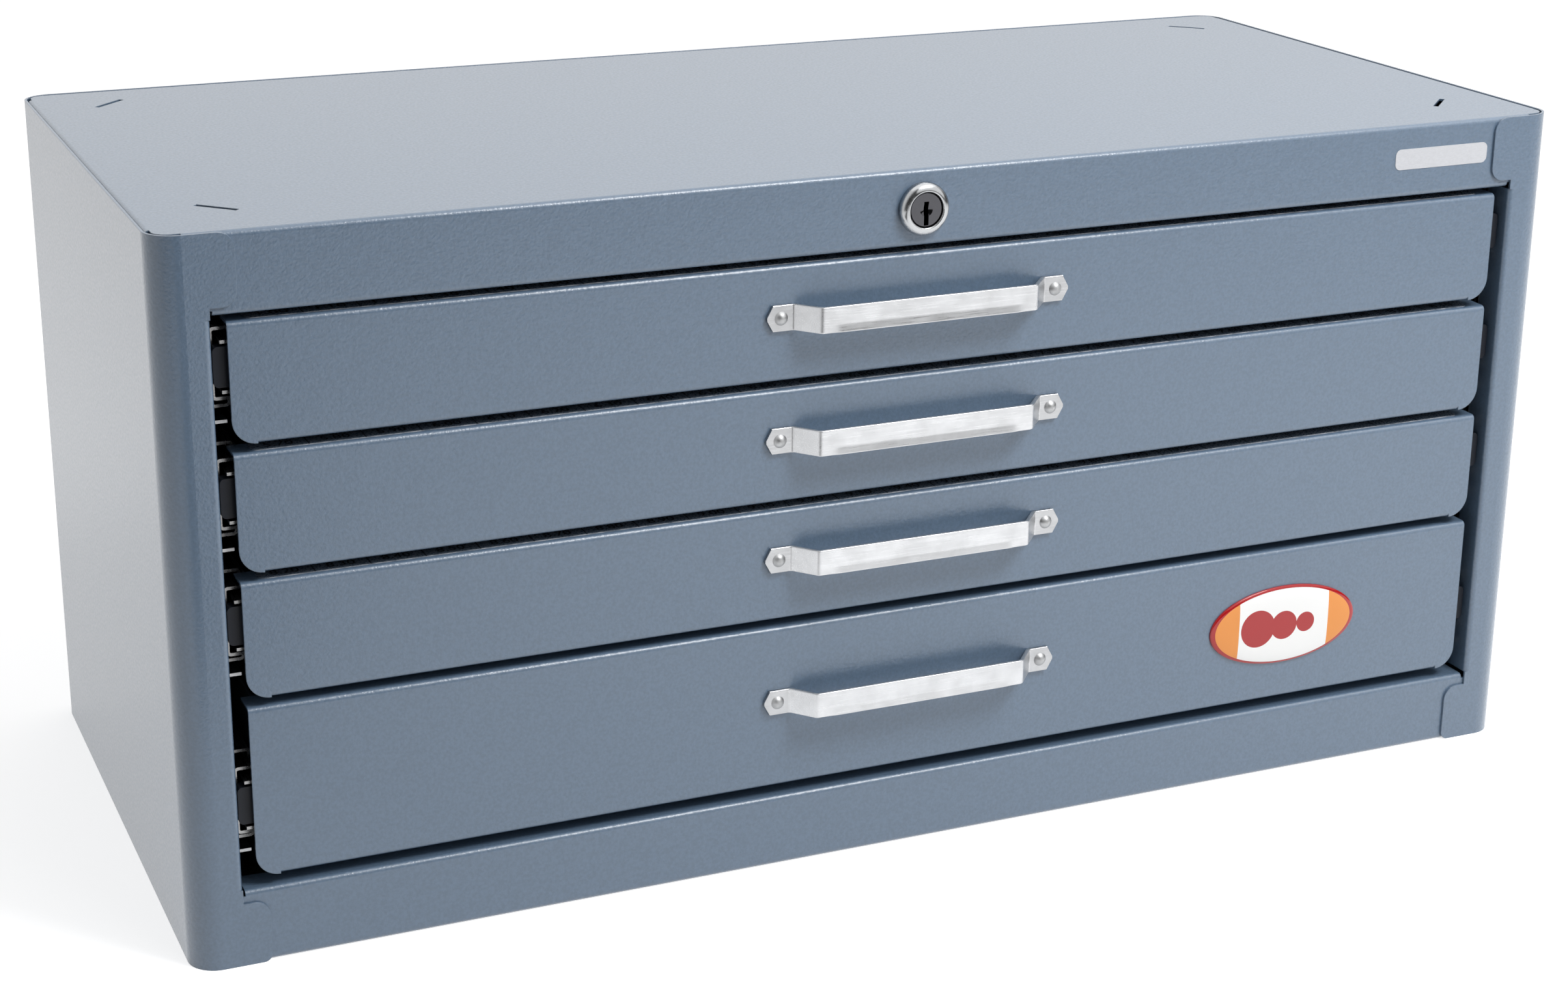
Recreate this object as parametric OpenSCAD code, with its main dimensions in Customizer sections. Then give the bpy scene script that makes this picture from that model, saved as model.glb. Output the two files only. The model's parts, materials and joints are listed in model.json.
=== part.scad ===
// Drill bit dispenser cabinet: a folded sheet steel case with four drawers on ball slides.
// Millimetres, +Z up, front towards -Y, origin at the middle of the footprint.
// Inside the modules, y is measured back from the face of the front stiles.

/* [Case] */
// Width across the side panels
case_w = 590; // [520:1:720]
// Depth from the stiles to the back panel
case_d = 271; // [240:1:340]
// Thickness of the case and drawer sheet
sheet_t = 1; // [0.8:0.1:1.2]
// Outside radius of the four upright corners
corner_r = 11.5; // [9:0.5:16]
// Outside radius of the folds
fold_r = 2; // [1.6:0.1:2.6]
// Height of the top and bottom front rails
rail_h = 30; // [28:1:45]
// Gap between the ends of the rails and the upright corners
rail_gap = 0.5; // [0.2:0.1:2]
// Width of each front stile
stile_w = 20; // [18:0.5:26]
// Depth of the stile returns and rail lips
return_d = 14; // [8:1:16]
// Height of the weld flanges on the top and bottom panels
flange_h = 15; // [8:1:18]
// Relief cut where a fold stops
relief = 1; // [0.5:0.5:3]

/* [Corner tabs] */
// Reach of the corner tabs past the stiles
tab_w = 10; // [7:1:14]
// Corner radius of the tabs
tab_r = 6; // [2:0.5:6.5]
// Lower corner radius of the bottom tabs
tab_foot_r = 3.5; // [2:0.5:6.5]
// Margin of the top tabs above the lower edge of their rail
tab_lift = 3.1; // [2:0.1:8]
// Margin of the bottom tabs below the upper edge of their rail
tab_drop = 4.7; // [2:0.1:8]

/* [Stacking slots] */
// Length of a slot in the top panel
slot_l = 17.8; // [10:0.2:24]
// Width of a slot
slot_w = 2.2; // [1.5:0.1:4]
// Distance of the slots from the side panels
slot_side = 32; // [25:1:60]
// Distance of the front slots from the front
slot_front = 37; // [25:1:60]
// Distance of the rear slots from the back
slot_back = 30; // [25:1:60]

/* [Drawer fronts] */
// Height of the three bit drawer fronts
bit_front_h = 45.4; // [44:0.2:60]
// Height of the bottom storage drawer front
deep_front_h = 68; // [50:1:110]
// Gap between two drawer fronts
front_gap = 3.4; // [2.5:0.1:6]
// Gap under the lowest front
bottom_gap = 4.4; // [3:0.1:8]
// Gap over the highest front
top_gap = 2.8; // [2:0.1:6]
// Gap between a front and the stiles
side_gap = 6; // [3:0.5:9]
// Setback of the fronts behind the stiles
front_setback = 2; // [1:0.5:4]
// Corner radius at the foot of a front
front_corner_r = 9; // [6:0.5:12]
// Depth of the folded edges of a front
front_fold_d = 12; // [11:0.5:13]

/* [Trays] */
// Drop of the tray walls below the top of the front
tray_drop = 5.4; // [4:0.2:7]
// Height of the tray's front lip
lip_h = 12; // [6:1:16]
// Space behind the trays for the lock bar
lock_space = 20; // [20:1:40]
// Travel of a drawer
travel = 225; // [150:1:230]

/* [Compartments] */
// Compartments in a full row
full_row = 25; // [10:1:30]
// Compartments in the rear row of the top drawer
rear_row = 22; // [10:1:30]
// Length of the front row in the top drawer
front_row_l = 124; // [80:1:150]
// Thickness of a divider
divider_t = 0.8; // [0.6:0.1:1.2]
// Drop of the dividers below the tray walls
divider_drop = 4; // [3:0.5:8]
// Chamfer at the front of a divider
divider_chamfer = 14; // [8:1:20]
// Depth of the ledge on the partition of the top drawer
ledge_d = 10; // [10:0.5:16]
// Width of a number strip
label_w = 9; // [6:0.5:9]
// Thickness of the number strips and of the rail label
label_t = 0.2; // [0.1:0.05:0.4]
// Corner radius of the number strips and of the rail label
label_r = 2.5; // [1:0.5:3]
// Margin in front of a number strip
label_margin = 0.4; // [0.2:0.1:1]

/* [Handles] */
// Distance between the two rivets
rivet_pitch = 117.7; // [110:0.1:140]
// Height of the strap
strap_h = 10.3; // [8:0.1:14]
// Thickness of the strap
strap_t = 1.6; // [1.2:0.1:2.2]
// Reach of the grip in front of the drawer
grip_reach = 11.3; // [9:0.1:20]
// Distance between the middles of the two legs
grip_l = 99; // [85:1:100]
// Slope of the legs
leg_angle = 50; // [40:1:65]
// Inside radius of the strap's bends
strap_r = 1.5; // [1:0.1:2]
// Distance from a rivet to the tip of its foot
foot_tip = 5.75; // [5:0.05:8]
// Depth of the point at the tip
foot_point = 2.4; // [1:0.1:4]
// Height of the strap's middle above the middle of the front
handle_rise = 2.7; // [0:0.1:5]
// Diameter of a rivet head
rivet_head_d = 5.5; // [4.5:0.1:7]
// Height of a rivet head
rivet_head_h = 1.6; // [1:0.1:2.5]
// Diameter of a rivet shank
rivet_d = 3.2; // [2.4:0.1:4]
// Gap round a rivet shank
rivet_play = 0.1; // [0.05:0.05:0.3]
// Diameter of a rivet's tail
rivet_tail_d = 5; // [4:0.1:6]
// Height of a rivet's tail
rivet_tail_h = 0.8; // [0.5:0.1:0.9]

/* [Ball slides] */
// Thickness of a closed slide
slide_t = 12.7; // [12.7:0.1:16]
// Height of a slide
slide_h = 36; // [35:0.5:44]
// Height of the slides' middle above the foot of their front
slide_mid = 28.5; // [26:0.5:30]
// Thickness of the rail steel
rail_t = 1.2; // [1:0.1:1.4]
// Inside radius of the rails' bends
rail_r = 0.6; // [0.4:0.1:0.8]
// Gap between the middle rails and the stiles
stile_clear = 1; // [0.6:0.1:2]
// Gap between the outer and middle rails' webs
web_gap = 0.5; // [0.4:0.1:1]
// Gap between the inner rails' webs and the lips of the other rails
lip_gap = 1.8; // [1:0.1:2]
// Gap between the inner rails' edges and the middle rails' webs
edge_gap = 1.6; // [1:0.1:2]
// Depth of the lips inside the outer rails
outer_hem = 2.2; // [1.8:0.1:2.4]
// Depth of the lips inside the middle rails
middle_hem = 1.4; // [1.2:0.1:1.6]
// Setback of the middle rails behind the inner rails
middle_setback = 5; // [3:0.5:8]
// Gap between the stile returns and the outer rails
outer_setback = 2; // [1:0.5:5]
// Margin of the inner rails in front of the trays' backs
rail_margin = 9; // [5:1:20]
// Space for balls between the outer and middle rails
outer_race = 3.3; // [2.8:0.1:3.5]
// Space for balls between the middle and inner rails
inner_race = 2.5; // [2.2:0.1:2.8]
// Gap between a ball and its races
ball_gap = 0.3; // [0.2:0.05:0.4]
// Gap between a ball and its hole in the cage
hole_gap = 0.25; // [0.2:0.05:0.4]
// Balls in one strip of a cage
ball_count = 4; // [3:1:7]
// Thickness of a cage
cage_t = 0.6; // [0.4:0.1:0.8]
// Gap between a cage and the lips of the rails
cage_gap = 0.3; // [0.2:0.1:0.5]
// Width of an outer cage
outer_cage_w = 4.8; // [4:0.1:5]
// Width of an inner cage
inner_cage_w = 3.4; // [3:0.1:3.6]
// Margin of the cages inside the rails at both ends of the travel
cage_margin = 8; // [4:1:12]
// Height of a stop pad
bumper_h = 15; // [12:0.5:16]
// Width of a stop pad
bumper_w = 6; // [3:0.5:7]
// Corner radius of a stop pad
bumper_r = 2; // [1:0.5:4]
// Drop of the ledges below the outer rails
ledge_drop = 6; // [4:0.5:7]
// Width of a ledge
ledge_w = 8; // [6:0.5:10]

/* [Slide uprights] */
// Width of an upright
upright_w = 28; // [20:1:40]
// Thickness of an upright's steel
upright_t = 1.2; // [1:0.1:2]
// Width of an upright's feet
upright_foot = 8; // [6:1:12]
// Distance of the uprights from the ends of the outer rails
upright_inset = 14; // [10:1:40]
// Gap between the uprights and the weld flanges
upright_gap = 1.5; // [0.5:0.5:5]

/* [Lock cylinder] */
// Drop of the lock's middle below the top
lock_drop = 15.3; // [14:0.1:18]
// Diameter of the lock's bezel
bezel_d = 20.8; // [19.5:0.1:24]
// Height of the straight edge round the bezel's dome
bezel_lip = 1.1; // [0.5:0.1:3]
// Width of the bezel's rounded inner rim
bezel_rim = 0.5; // [0.3:0.1:1]
// Diameter of the lock's barrel
barrel_d = 18.6; // [17:0.1:19]
// Length of the lock's barrel behind the bezel
barrel_l = 21; // [16:1:30]
// Diameter of the key plug
plug_d = 13.8; // [12:0.1:14.5]
// Running gap round the plug
plug_gap = 0.1; // [0.05:0.01:0.1]
// Setback of the plug's face behind the bezel
plug_setback = 0.8; // [0.2:0.1:2]
// Bevel round the plug's face
plug_bevel = 0.5; // [0.3:0.1:1]
// Reach of the plug's rear flange outside the barrel's bore
plug_flange = 1.5; // [1:0.1:2]
// Thickness of the plug's rear flange
plug_flange_t = 1.7; // [1:0.1:3]
// Gap between the plug's rear flange and the barrel
flange_gap = 0.3; // [0.2:0.1:0.6]
// Width of the keyway
keyway_w = 2; // [1.5:0.1:3]
// Height of the keyway below the plug's middle
keyway_low = 6.1; // [4:0.1:6.5]
// Height of the keyway above the plug's middle
keyway_high = 3.2; // [2:0.1:5]
// Depth of the keyway
keyway_l = 8; // [5:0.5:10]
// Diameter of the dished mouth of the keyway
dish_d = 5.4; // [3:0.1:8]
// Depth of the dished mouth
dish_l = 0.9; // [0.4:0.1:1.5]
// Diameter of the lock nut across its corners
nut_d = 26; // [24:0.5:28]
// Thickness of the lock nut
nut_t = 4; // [3:0.5:6]
// Gap between the barrel and its hole and nut
barrel_gap = 0.2; // [0.1:0.1:0.4]

/* [Lock rod and bar] */
// Diameter of the lock rod
rod_d = 6; // [4:0.5:7]
// Gap round the rod in its bracket
rod_gap = 0.3; // [0.2:0.1:0.6]
// Gap round the rod in the plug's socket
socket_gap = 0.05; // [0.02:0.01:0.1]
// Depth of the plug's socket
socket_l = 6; // [4:0.5:10]
// Radius of the crank that lifts the lock bar
crank_r = 6; // [5:0.5:6.5]
// Thickness of the crank
crank_t = 2; // [1.5:0.1:3]
// Metal round the rod and round the pin in the crank
crank_wall = 1.75; // [1.2:0.05:3]
// Gap between the crank and the lock bar
crank_gap = 3; // [1:0.5:5]
// Diameter of the crank's pin
pin_d = 3; // [2:0.1:4]
// Gap round the pin in the lock bar's slot
pin_gap = 0.45; // [0.4:0.05:0.8]
// Reach of the pin behind the lock bar
pin_reach = 0.4; // [0.2:0.1:0.6]
// Width of the bracket behind the rod
bracket_w = 20; // [14:1:30]
// Thickness of the bracket
bracket_t = 1.5; // [1:0.1:2.5]
// Length of the bracket's foot
bracket_foot = 12; // [8:1:16]
// Height of the bracket below the rod's middle
bracket_drop = 9; // [6:0.5:12]
// Width of the lock bar
bar_w = 24; // [20:1:30]
// Thickness of the lock bar
bar_t = 1.5; // [1:0.1:2]
// Gap between the lock bar and its guides
bar_gap = 0.5; // [0.3:0.1:0.6]
// Margin of the lock bar past its slot and its lowest finger
bar_margin = 4; // [3:0.5:8]
// Thickness of the guides
guide_t = 1.2; // [1:0.1:1.5]
// Height of a guide
guide_h = 16; // [10:1:20]
// Reach of a guide's lips over the lock bar
guide_lip = 4; // [2:0.5:5]
// Width of a tray's hook
catch_w = 16; // [10:1:20]
// Reach of a tray's hook behind the tray
catch_reach = 7; // [6:0.5:9]
// Length of a tray's hook
catch_lip = 9.5; // [9:0.5:12]
// Drop of a tray's hook below the tray's top
catch_drop = 4; // [3:0.5:8]
// Width of a finger of the lock bar
finger_w = 12; // [8:1:16]
// Height of a finger
finger_h = 10; // [10:0.5:12]
// Gap between a finger and the hook above it when unlocked
finger_gap = 1.5; // [1:0.1:3]
// Gap between a finger and the back of its tray
finger_setback = 2.2; // [1:0.1:2.5]

/* [Label and badge] */
// Width of the blank label on the top rail
tag_w = 45.5; // [20:0.5:60]
// Height of the blank label
tag_h = 8.6; // [6:0.2:12]
// Middle of the blank label, to the right of the case's middle
tag_x = 239.2; // [150:0.2:240]
// Middle of the blank label, above the lock's middle
tag_rise = 1.2; // [-3:0.2:3]
// Width of the oval badge
badge_w = 72; // [40:1:90]
// Height of the oval badge
badge_h = 35; // [20:1:45]
// Thickness of the oval badge
badge_t = 1.8; // [1:0.1:2]
// Middle of the badge, to the right of the case's middle
badge_x = 177.3; // [110:0.1:200]

/* [Hidden] */
$fn = 48;
paint = [0.42, 0.48, 0.54];
zinc = [0.72, 0.73, 0.74];
chrome = [0.85, 0.86, 0.88];
black = [0.06, 0.06, 0.07];
white = [0.93, 0.93, 0.92];

// Case
half_w = case_w / 2;
inner_x = half_w - sheet_t;
open_x = half_w - stile_w;
back_y = case_d - sheet_t;
fold_in = fold_r - sheet_t;
rail_x = half_w - corner_r - rail_gap;
lip_x = open_x - relief;
top_tab_h = rail_h - tab_lift;
foot_tab_h = rail_h - tab_drop;
panel_corner_r = corner_r / 2;

// Drawers, counted from the top
last = 3;
drawers = [0:last];
bit_drawers = [0:last - 1];
front_x = open_x - side_gap;
front_y = front_setback;
flange_x = front_x - front_corner_r;
function front_h(i) = i < last ? bit_front_h : deep_front_h;
function front_z(i) = i == last ? rail_h + bottom_gap : front_z(i + 1) + front_h(i + 1) + front_gap;
function tray_top(i) = front_h(i) - tray_drop;
case_h = front_z(0) + front_h(0) + top_gap + rail_h;
tray_y = front_y + sheet_t;
tray_back = back_y - lock_space;

// Slides: the middle rails pass inside the stiles, and the outer rails stop behind them
middle_x = open_x - stile_clear;
slide_x = middle_x + web_gap + rail_t;
tray_x = slide_x - slide_t;
rail_lip_x = tray_x + rail_t + lip_gap;
inner_end_x = middle_x - rail_t - edge_gap;
outer_half = slide_h / 2;
middle_half = outer_half - rail_t - outer_race;
inner_half = middle_half - rail_t - inner_race;
inner_rail_y = tray_y + fold_r;
middle_rail_y = inner_rail_y + middle_setback;
outer_rail_y = return_d + outer_setback;
slide_len = tray_back - rail_margin - inner_rail_y;
function slide_z(i) = front_z(i) + slide_mid;
// The fronts' top edges run over the middle rails, or stop beside rails that stand as high as they do
rails_under = slide_mid + middle_half + lip_gap <= bit_front_h - sheet_t;
top_edge_x = rails_under ? front_x : rail_lip_x - lip_gap;
cage_len = middle_rail_y + slide_len - travel / 2 - outer_rail_y - 2 * cage_margin;
cage_x = rail_lip_x + rail_t + cage_gap;

// Compartments
floor_z = 2 * sheet_t;
inside_x = tray_x - sheet_t;
divider_y = tray_y + sheet_t;
divider_end = tray_back - sheet_t;
partition_y = divider_y + front_row_l;
function divider_top(i) = tray_top(i) - divider_drop;

// Handle
bend_sum = 2 * strap_r + strap_t;
leg_straight = (grip_reach - strap_t - bend_sum * (1 - cos(leg_angle))) / sin(leg_angle);
leg_run = bend_sum * sin(leg_angle) + leg_straight * cos(leg_angle);
tip_x = rivet_pitch / 2 + foot_tip;
rivet_hole_d = rivet_d + 2 * rivet_play;
function handle_z(i) = front_h(i) / 2 + handle_rise;

// Lock: the crank stands half of a quarter turn below the level at rest
lock_z = case_h - lock_drop;
barrel_end = sheet_t + barrel_l;
plug_end = barrel_end + flange_gap + plug_flange_t;
bore_r = plug_d / 2 + plug_gap;
dome_in_r = bore_r + bezel_rim;
dome_r = bezel_d / 2 - dome_in_r;
bezel_reach = bezel_lip + dome_r;
bar_back = back_y - guide_t - bar_gap;
bar_front = bar_back - bar_t;
crank_y = bar_front - crank_gap - crank_t;
crank_angle = 90 / 2;
slot_z = lock_z - crank_r * sin(crank_angle);
finger_y = tray_back + finger_setback;
function catch_z(i) = tray_top(i) - catch_drop;
function finger_top(i) = front_z(i) + catch_z(i) - catch_lip - finger_gap;

part_words = ["front", "tray", "handle", "rivets", "inner_rails"];
bit_words = ["dividers", "labels"];
slide_words = ["middle_rails", "bumpers", "outer_cages", "inner_cages"];
function named(group, i, word) = str(group, "_", i + 1, "_", word);

// Frame helpers
module from_front() translate([0, -case_d / 2, 0]) children();
module on_drawer(i) from_front() translate([0, 0, front_z(i)]) children();
module on_slide(i) from_front() translate([0, 0, slide_z(i)]) children();
module both_sides() {
    children();
    mirror([1, 0, 0]) children();
}

// A flat shape drawn in (Y, Z) and run along X, centred
module along_x(w) translate([-w / 2, 0, 0]) rotate([90, 0, 90]) linear_extrude(w) children();

// A flat shape drawn in (X, Z) and run back from y0 by d
module along_y(y0, d) translate([0, y0 + d, 0]) rotate([90, 0, 0]) linear_extrude(d) children();

// Quarter of a disc, in the positive quadrant
module quarter_disc(r) {
    intersection() {
        circle(r);
        square(2 * r);
    }
}

// Quarter turn of a strip, from straight down round to straight right
module quarter_bend(r_in, t) {
    intersection() {
        difference() {
            circle(r_in + t);
            circle(r_in);
        }
        translate([0, -2 * (r_in + t)]) square(2 * (r_in + t));
    }
}

// A folded strip of thickness t. Each step is a run, then a square turn: 1 left, -1 right, 0 none.
// The strip lies to the left of its path, and r_in is the inside radius of its turns.
module strip(steps, t, r_in, i = 0) {
    if (i < len(steps)) {
        run = steps[i][0];
        turn = steps[i][1];
        centre = turn < 0 ? -r_in : t + r_in;
        if (run > 0) square([run, t]);
        translate([run, centre]) {
            if (turn > 0) quarter_bend(r_in, t);
            if (turn < 0) mirror([0, 1]) quarter_bend(r_in, t);
            rotate(90 * turn) translate([0, -centre]) strip(steps, t, r_in, i + 1);
        }
    }
}

// A rectangle with its own radius at each corner, counted anticlockwise from the lower left
module rounded(size, radii) {
    places = [[0, 0], [1, 0], [1, 1], [0, 1]];
    function inward(k) = [1 - 2 * places[k].x, 1 - 2 * places[k].y];
    function place(k) = [size.x * places[k].x, size.y * places[k].y];
    function notch(k) = [
        place(k) + radii[k] * [0, inward(k).y],
        place(k) + radii[k] * inward(k),
        place(k) + radii[k] * [inward(k).x, 0]
    ];
    polygon([for (k = [0:3], n = [0:2]) notch(k)[k % 2 == 0 ? n : 2 - n]]);
    for (k = [0:3])
        if (radii[k] > 0)
            translate(notch(k)[1])
                mirror([places[k].x == 0 ? 1 : 0, 0])
                    mirror([0, places[k].y == 0 ? 1 : 0])
                        quarter_disc(radii[k]);
}

// Case

// Sides, back and stiles, folded from one sheet, with corner tabs over the rails
module wrapper() {
    stile_flat = stile_w - fold_r - corner_r;
    side_run = case_d - 2 * corner_r;
    back_run = case_w - 2 * corner_r;
    wrap = [[stile_flat, 1], [side_run, 1], [back_run, 1], [side_run, 1], [stile_flat, 0]];
    return_z = rail_h + relief;
    color(paint) from_front() {
        linear_extrude(case_h)
            translate([open_x + fold_r, 0]) strip(wrap, sheet_t, corner_r - sheet_t);
        both_sides() {
            translate([0, 0, return_z])
                linear_extrude(case_h - 2 * return_z)
                    translate([open_x, return_d])
                        rotate(-90) strip([[return_d - fold_r, 1]], sheet_t, fold_in);
            along_y(0, sheet_t) {
                stile_end(return_z);
                translate([0, case_h - return_z]) stile_end(return_z);
                translate([open_x - tab_w, 0])
                    rounded([tab_w, foot_tab_h], [tab_foot_r, 0, 0, tab_r]);
                translate([open_x - tab_w, case_h - top_tab_h])
                    rounded([tab_w, top_tab_h], [tab_r, 0, 0, tab_r]);
            }
        }
    }
}

// Flat edge of a stile above or below its return
module stile_end(h) translate([open_x, 0]) square([fold_r, h]);

// A top or bottom panel with its rail and flanges, outer face up at z = 0
module end_panel() {
    flat_x = inner_x - fold_r;
    flat_y = sheet_t + fold_r;
    flat_end = back_y - fold_r;
    translate([-flat_x, flat_y, -sheet_t])
        linear_extrude(sheet_t)
            rounded([2 * flat_x, flat_end - flat_y], [for (k = [0:3]) panel_corner_r]);
    both_sides()
        along_y(corner_r, case_d - 2 * corner_r)
            translate([inner_x, -flange_h]) rotate(90) strip([[flange_h - fold_r, 1]], sheet_t, fold_in);
    along_x(2 * rail_x)
        translate([back_y, -flange_h]) rotate(90) strip([[flange_h - fold_r, 1]], sheet_t, fold_in);
    along_x(2 * rail_x)
        translate([flat_y, 0]) rotate(180) strip([[0, 1], [rail_h - 2 * fold_r, 0]], sheet_t, fold_in);
    along_x(2 * lip_x)
        translate([sheet_t, fold_r - rail_h])
            rotate(-90) strip([[0, 1], [return_d - flat_y, 0]], sheet_t, fold_in);
}

// One stacking slot, cut square to the diagonal of its corner
module stacking_slot(x, y, angle) {
    translate([x, y, -2 * sheet_t])
        rotate(angle) translate([-slot_l / 2, -slot_w / 2, 0]) cube([slot_l, slot_w, 3 * sheet_t]);
}

module top_panel() {
    slot_x = half_w - slot_side;
    color(paint) from_front() translate([0, 0, case_h]) difference() {
        end_panel();
        both_sides() {
            stacking_slot(slot_x, slot_front, 45);
            stacking_slot(slot_x, case_d - slot_back, -45);
        }
        translate([0, 0, -lock_drop])
            rotate([-90, 0, 0]) cylinder(d = barrel_d + 2 * barrel_gap, h = 2 * fold_r);
    }
}

module bottom_panel() color(paint) from_front() mirror([0, 0, 1]) end_panel();

// Blank label on the top rail
module rail_label() {
    color(white) from_front()
        along_y(sheet_t - label_t, label_t)
            translate([tag_x - tag_w / 2, lock_z + tag_rise - tag_h / 2])
                rounded([tag_w, tag_h], [for (k = [0:3]) label_r]);
}

// Hat sections on the side panels, two a side, that carry the outer rails
module slide_uprights() {
    low = flange_h + upright_gap;
    places = [outer_rail_y + upright_inset, outer_rail_y + slide_len - upright_inset - upright_w];
    leg = inner_x - slide_x;
    color(zinc) from_front() both_sides() for (y = places)
        translate([slide_x, y, low]) linear_extrude(case_h - 2 * low) {
            square([upright_t, upright_w]);
            for (y_leg = [0, upright_w - upright_t])
                translate([0, y_leg]) square([leg, upright_t]);
            for (y_foot = [-upright_foot, upright_w])
                translate([leg - upright_t, y_foot]) square([upright_t, upright_foot]);
            for (y_heel = [0, upright_w - upright_t])
                translate([leg - upright_t, y_heel]) square(upright_t);
        }
}

// Ball slides

// Section of a rail, open at x = 0 and closed at x = depth, with lips where lip is above 0
module channel(depth, half, lip) {
    r = rail_r + rail_t;
    web = 2 * (half - r);
    leg = depth - 2 * r;
    hem = lip - r;
    if (lip > 0)
        translate([0, lip - half])
            rotate(-90) strip([[hem, 1], [leg, 1], [web, 1], [leg, 1], [hem, 0]], rail_t, rail_r);
    else
        translate([0, -half]) strip([[depth - r, 1], [web, 1], [depth - r, 0]], rail_t, rail_r);
}

module outer_rails() {
    color(zinc) for (i = drawers) on_slide(i) both_sides()
        along_y(outer_rail_y, slide_len)
            translate([rail_lip_x, 0]) channel(slide_x - rail_lip_x, outer_half, rail_t + outer_hem);
}

// Angles on the uprights, one under each outer rail
module slide_ledges() {
    r = rail_r + rail_t;
    color(zinc) for (i = drawers) on_slide(i) both_sides()
        along_y(outer_rail_y, slide_len)
            translate([slide_x - ledge_w, -outer_half - ledge_drop])
                strip([[ledge_w - r, 1], [ledge_drop - r, 0]], rail_t, rail_r);
}

module middle_rails(i) {
    color(zinc) on_slide(i) both_sides()
        along_y(middle_rail_y, slide_len)
            translate([rail_lip_x, 0]) channel(middle_x - rail_lip_x, middle_half, rail_t + middle_hem);
}

module inner_rails(i) {
    color(zinc) on_slide(i) both_sides()
        along_y(inner_rail_y, slide_len)
            translate([inner_end_x, 0]) mirror([1, 0]) channel(inner_end_x - tray_x, inner_half, 0);
}

// Stop pads on the front ends of the middle rails
module bumpers(i) {
    color(black) on_slide(i) both_sides()
        along_y(inner_rail_y, middle_setback)
            translate([middle_x - bumper_w, -bumper_h / 2])
                rounded([bumper_w, bumper_h], [0, bumper_r, bumper_r, 0]);
}

// Two ball strips, above and below, on each side
module cages(i, y, z, w, race) {
    ball_d = race - 2 * ball_gap;
    hole_d = ball_d + 2 * hole_gap;
    pitch = cage_len / ball_count;
    color(zinc) on_slide(i) both_sides() for (up = [0, 1]) mirror([0, 0, up])
        translate([cage_x, y, z]) {
            difference() {
                translate([0, 0, -cage_t / 2]) cube([w, cage_len, cage_t]);
                for (k = [0:ball_count - 1])
                    translate([w / 2, (k + 0.5) * pitch, -cage_t]) cylinder(d = hole_d, h = 2 * cage_t);
            }
            for (k = [0:ball_count - 1])
                translate([w / 2, (k + 0.5) * pitch, 0]) sphere(d = ball_d);
        }
}

module outer_cages(i) {
    y = outer_rail_y + travel / 4 + cage_margin;
    cages(i, y, middle_half + outer_race / 2, outer_cage_w, outer_race);
}

module inner_cages(i) {
    y = middle_rail_y + travel / 4 + cage_margin;
    cages(i, y, inner_half + inner_race / 2, inner_cage_w, inner_race);
}

// Drawers

// Front with rounded lower corners, a folded foot and a folded top edge
module drawer_front(i) {
    h = front_h(i);
    face_h = h - 2 * fold_r;
    fold_run = front_fold_d - fold_r;
    color(paint) on_drawer(i) difference() {
        union() {
            along_x(2 * flange_x) {
                translate([front_y + fold_r, 0]) square([fold_run, sheet_t]);
                translate([front_y + fold_r, fold_r]) mirror([1, 0]) quarter_bend(fold_in, sheet_t);
            }
            along_y(front_y, sheet_t) {
                translate([-flange_x, fold_r]) square([2 * flange_x, face_h]);
                for (side = [0, 1])
                    mirror([side, 0])
                        translate([flange_x, 0])
                            rounded([front_corner_r, h - fold_r], [0, front_corner_r, 0, 0]);
            }
            along_x(2 * front_x)
                translate([front_y + fold_r, h - fold_r]) rotate(180) quarter_bend(fold_in, sheet_t);
            along_x(2 * top_edge_x)
                translate([front_y + fold_r, h - sheet_t]) square([fold_run, sheet_t]);
        }
        for (side = [-1, 1])
            translate([side * rivet_pitch / 2, 0, handle_z(i)])
                rotate([-90, 0, 0]) cylinder(d = rivet_hole_d, h = front_y + 2 * sheet_t);
    }
}

// Open tray with a front lip and a hook for the lock bar behind
module tray(i) {
    lip_run = lip_h - sheet_t - fold_r;
    floor_run = tray_back - tray_y - 2 * fold_r;
    wall_run = tray_top(i) - sheet_t - fold_r;
    fold_x = tray_x - fold_r;
    color(paint) on_drawer(i) {
        along_x(2 * fold_x)
            translate([tray_y, lip_h])
                rotate(-90) strip([[lip_run, 1], [floor_run, 1], [wall_run, 0]], sheet_t, fold_in);
        both_sides()
            along_y(tray_y + fold_r, floor_run)
                translate([fold_x, sheet_t]) strip([[0, 1], [wall_run, 0]], sheet_t, fold_in);
        translate([-catch_w / 2, tray_back, catch_z(i)]) {
            cube([catch_w, catch_reach, sheet_t]);
            translate([0, catch_reach - sheet_t, -catch_lip]) cube([catch_w, sheet_t, catch_lip]);
        }
    }
}

// A row of dividers between two y places
module divider_row(i, count, y0, y1) {
    top = divider_top(i);
    pitch = 2 * inside_x / count;
    side = [
        [y0, floor_z + fold_in],
        [y0 + fold_in, floor_z],
        [y1 - fold_in, floor_z],
        [y1, floor_z + fold_in],
        [y1, top],
        [y0 + divider_chamfer, top],
        [y0, top - divider_chamfer]
    ];
    for (k = [1:count - 1])
        translate([k * pitch - inside_x, 0, 0]) along_x(divider_t) polygon(side);
}

module dividers(i) {
    color(zinc) on_drawer(i) {
        if (i == 0) {
            divider_row(i, full_row, divider_y, partition_y);
            divider_row(i, rear_row, partition_y + sheet_t, divider_end);
        } else {
            divider_row(i, full_row, divider_y, divider_end);
        }
    }
}

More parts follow.
